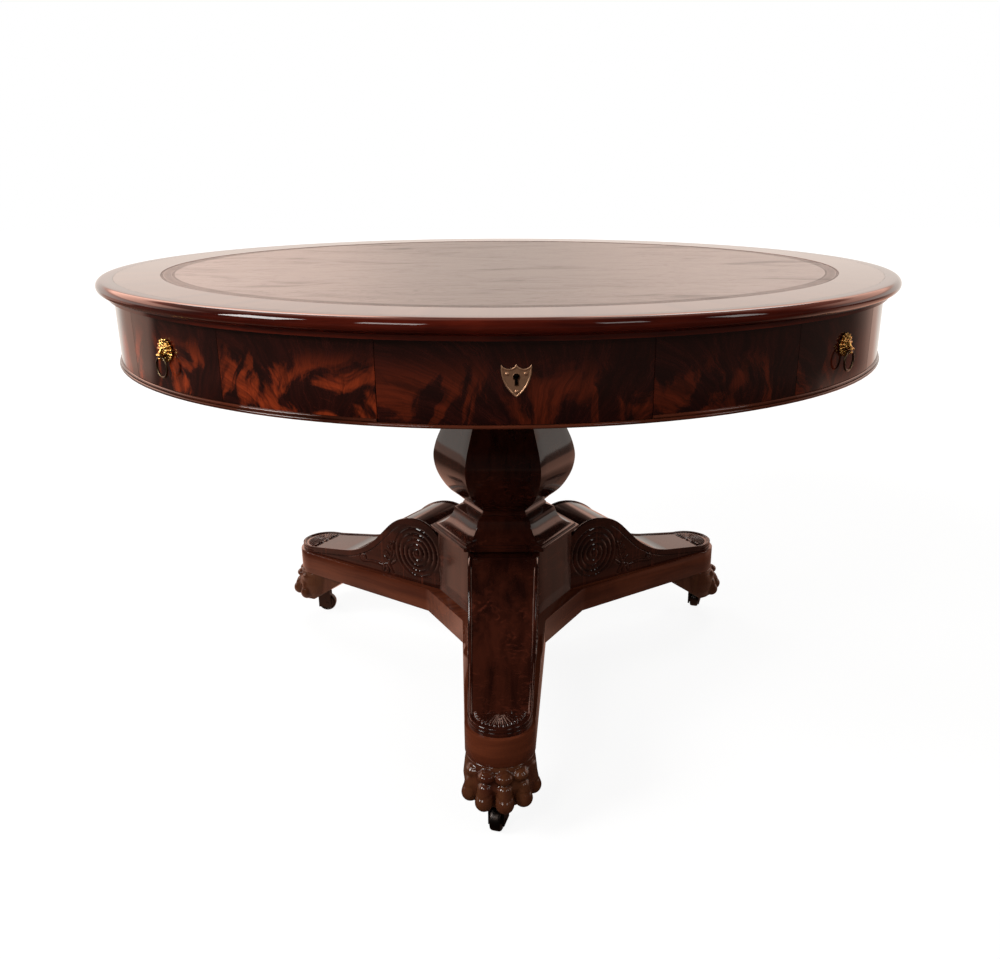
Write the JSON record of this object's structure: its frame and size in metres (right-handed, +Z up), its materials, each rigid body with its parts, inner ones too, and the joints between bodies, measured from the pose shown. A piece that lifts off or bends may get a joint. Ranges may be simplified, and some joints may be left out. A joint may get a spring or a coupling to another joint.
{
  "type": "drum table",
  "caption": "Round library table with a leather top and a turning drum of curved drawers, on a hexagonal column with scrolled legs, carved paw feet and castors.",
  "frame": {"origin": "on the floor under the middle of the column", "axes": "+Z up; the first lock drawer faces -Y; azimuths grow towards +X"},
  "size_m": [1.2398, 1.24, 0.746],
  "materials": {
    "carcase_wood": "plain",
    "drawer_oak": "plain",
    "mahogany_flame": "french polished",
    "mahogany_band": "french polished",
    "mahogany_dark": "french polished",
    "writing_leather": "waxed",
    "lock_steel": "satin",
    "brass": "polished",
    "gilt_brass": "polished",
    "dark_brass": "aged",
    "iron": "dark"
  },
  "bodies": {
    "base": {"pivot_spindle": "iron", "bearer_block": "mahogany_dark", "column": "mahogany_dark", "plinth_cap": "mahogany_dark", "plinth_block": "mahogany_dark", "leg_front": "mahogany_dark", "leg_left": "mahogany_dark", "leg_right": "mahogany_dark", "base_platform": "mahogany_band", "paw_feet": "mahogany_dark", "castor_plates": "iron"},
    "drum": {"top_board": "carcase_wood", "crossband_rim": "mahogany_band", "edge_moulding": "mahogany_flame", "under_fillet": "mahogany_dark", "leather_inset": "writing_leather", "bottom_board": "carcase_wood", "frieze_panels": "mahogany_flame", "frieze_beads": "mahogany_dark", "drawer_partitions": "carcase_wood", "drawer_stops": "carcase_wood", "pivot_socket": "carcase_wood"},
    "lock_drawer_1": {"lock_drawer_1_front": "mahogany_flame", "lock_drawer_1_carcase": "drawer_oak", "lock_drawer_1_lock": "lock_steel", "lock_drawer_1_escutcheon": "brass"},
    "lock_drawer_2": {"lock_drawer_2_front": "mahogany_flame", "lock_drawer_2_carcase": "drawer_oak", "lock_drawer_2_lock": "lock_steel", "lock_drawer_2_escutcheon": "brass"},
    "lock_drawer_3": {"lock_drawer_3_front": "mahogany_flame", "lock_drawer_3_carcase": "drawer_oak", "lock_drawer_3_lock": "lock_steel", "lock_drawer_3_escutcheon": "brass"},
    "lock_drawer_4": {"lock_drawer_4_front": "mahogany_flame", "lock_drawer_4_carcase": "drawer_oak", "lock_drawer_4_lock": "lock_steel", "lock_drawer_4_escutcheon": "brass"},
    "ring_drawer_1": {"ring_drawer_1_front": "mahogany_flame", "ring_drawer_1_carcase": "drawer_oak", "ring_drawer_1_lion_mask": "gilt_brass"},
    "ring_1": {"ring_drawer_1_ring": "dark_brass"},
    "ring_drawer_2": {"ring_drawer_2_front": "mahogany_flame", "ring_drawer_2_carcase": "drawer_oak", "ring_drawer_2_lion_mask": "gilt_brass"},
    "ring_2": {"ring_drawer_2_ring": "dark_brass"},
    "ring_drawer_3": {"ring_drawer_3_front": "mahogany_flame", "ring_drawer_3_carcase": "drawer_oak", "ring_drawer_3_lion_mask": "gilt_brass"},
    "ring_3": {"ring_drawer_3_ring": "dark_brass"},
    "ring_drawer_4": {"ring_drawer_4_front": "mahogany_flame", "ring_drawer_4_carcase": "drawer_oak", "ring_drawer_4_lion_mask": "gilt_brass"},
    "ring_4": {"ring_drawer_4_ring": "dark_brass"},
    "castor_1": {"castor_fork_1": "iron"},
    "wheel_1": {"castor_wheel_1": "iron"},
    "castor_2": {"castor_fork_2": "iron"},
    "wheel_2": {"castor_wheel_2": "iron"},
    "castor_3": {"castor_fork_3": "iron"},
    "wheel_3": {"castor_wheel_3": "iron"}
  },
  "joints": [
    {"name": "drum_turn", "type": "hinge", "parent": "base", "child": "drum", "pos_m": [0, 0, 0.62], "axis": [0, 0, 1], "continuous": true},
    {"name": "lock_drawer_1_slide", "type": "slide", "parent": "drum", "child": "lock_drawer_1", "axis": [0, -1, 0], "range_m": [0, 0.24]},
    {"name": "lock_drawer_2_slide", "type": "slide", "parent": "drum", "child": "lock_drawer_2", "axis": [1, 0, 0], "range_m": [0, 0.24]},
    {"name": "lock_drawer_3_slide", "type": "slide", "parent": "drum", "child": "lock_drawer_3", "axis": [0, 1, 0], "range_m": [0, 0.24]},
    {"name": "lock_drawer_4_slide", "type": "slide", "parent": "drum", "child": "lock_drawer_4", "axis": [-1, 0, 0], "range_m": [0, 0.24]},
    {"name": "ring_drawer_1_slide", "type": "slide", "parent": "drum", "child": "ring_drawer_1", "axis": [0.7071, -0.7071, 0], "range_m": [0, 0.17]},
    {"name": "ring_1_swing", "type": "hinge", "parent": "ring_drawer_1", "child": "ring_1", "pos_m": [0.42921, -0.42921, 0.675], "axis": [-0.7071, -0.7071, 0], "range_deg": [0, 100]},
    {"name": "ring_drawer_2_slide", "type": "slide", "parent": "drum", "child": "ring_drawer_2", "axis": [0.7071, 0.7071, 0], "range_m": [0, 0.17]},
    {"name": "ring_2_swing", "type": "hinge", "parent": "ring_drawer_2", "child": "ring_2", "pos_m": [0.42921, 0.42921, 0.675], "axis": [0.7071, -0.7071, 0], "range_deg": [0, 100]},
    {"name": "ring_drawer_3_slide", "type": "slide", "parent": "drum", "child": "ring_drawer_3", "axis": [-0.7071, 0.7071, 0], "range_m": [0, 0.17]},
    {"name": "ring_3_swing", "type": "hinge", "parent": "ring_drawer_3", "child": "ring_3", "pos_m": [-0.42921, 0.42921, 0.675], "axis": [0.7071, 0.7071, 0], "range_deg": [0, 100]},
    {"name": "ring_drawer_4_slide", "type": "slide", "parent": "drum", "child": "ring_drawer_4", "axis": [-0.7071, -0.7071, 0], "range_m": [0, 0.17]},
    {"name": "ring_4_swing", "type": "hinge", "parent": "ring_drawer_4", "child": "ring_4", "pos_m": [-0.42921, -0.42921, 0.675], "axis": [-0.7071, 0.7071, 0], "range_deg": [0, 100]},
    {"name": "castor_1_swivel", "type": "hinge", "parent": "base", "child": "castor_1", "pos_m": [-0.02011, -0.46056, 0.038], "axis": [0, 0, 1], "continuous": true},
    {"name": "wheel_1_roll", "type": "hinge", "parent": "castor_1", "child": "wheel_1", "pos_m": [-0.02443, -0.47388, 0.018], "axis": [0.9511, -0.309, 0], "continuous": true},
    {"name": "castor_2_swivel", "type": "hinge", "parent": "base", "child": "castor_2", "pos_m": [0.40891, 0.21287, 0.038], "axis": [0, 0, 1], "continuous": true},
    {"name": "wheel_2_roll", "type": "hinge", "parent": "castor_2", "child": "wheel_2", "pos_m": [0.4137, 0.22602, 0.018], "axis": [-0.9397, 0.342, 0], "continuous": true},
    {"name": "castor_3_swivel", "type": "hinge", "parent": "base", "child": "castor_3", "pos_m": [-0.3888, 0.24769, 0.038], "axis": [0, 0, 1], "continuous": true},
    {"name": "wheel_3_roll", "type": "hinge", "parent": "castor_3", "child": "wheel_3", "pos_m": [-0.3748, 0.24769, 0.018], "axis": [0, 1, 0], "continuous": true}
  ]
}
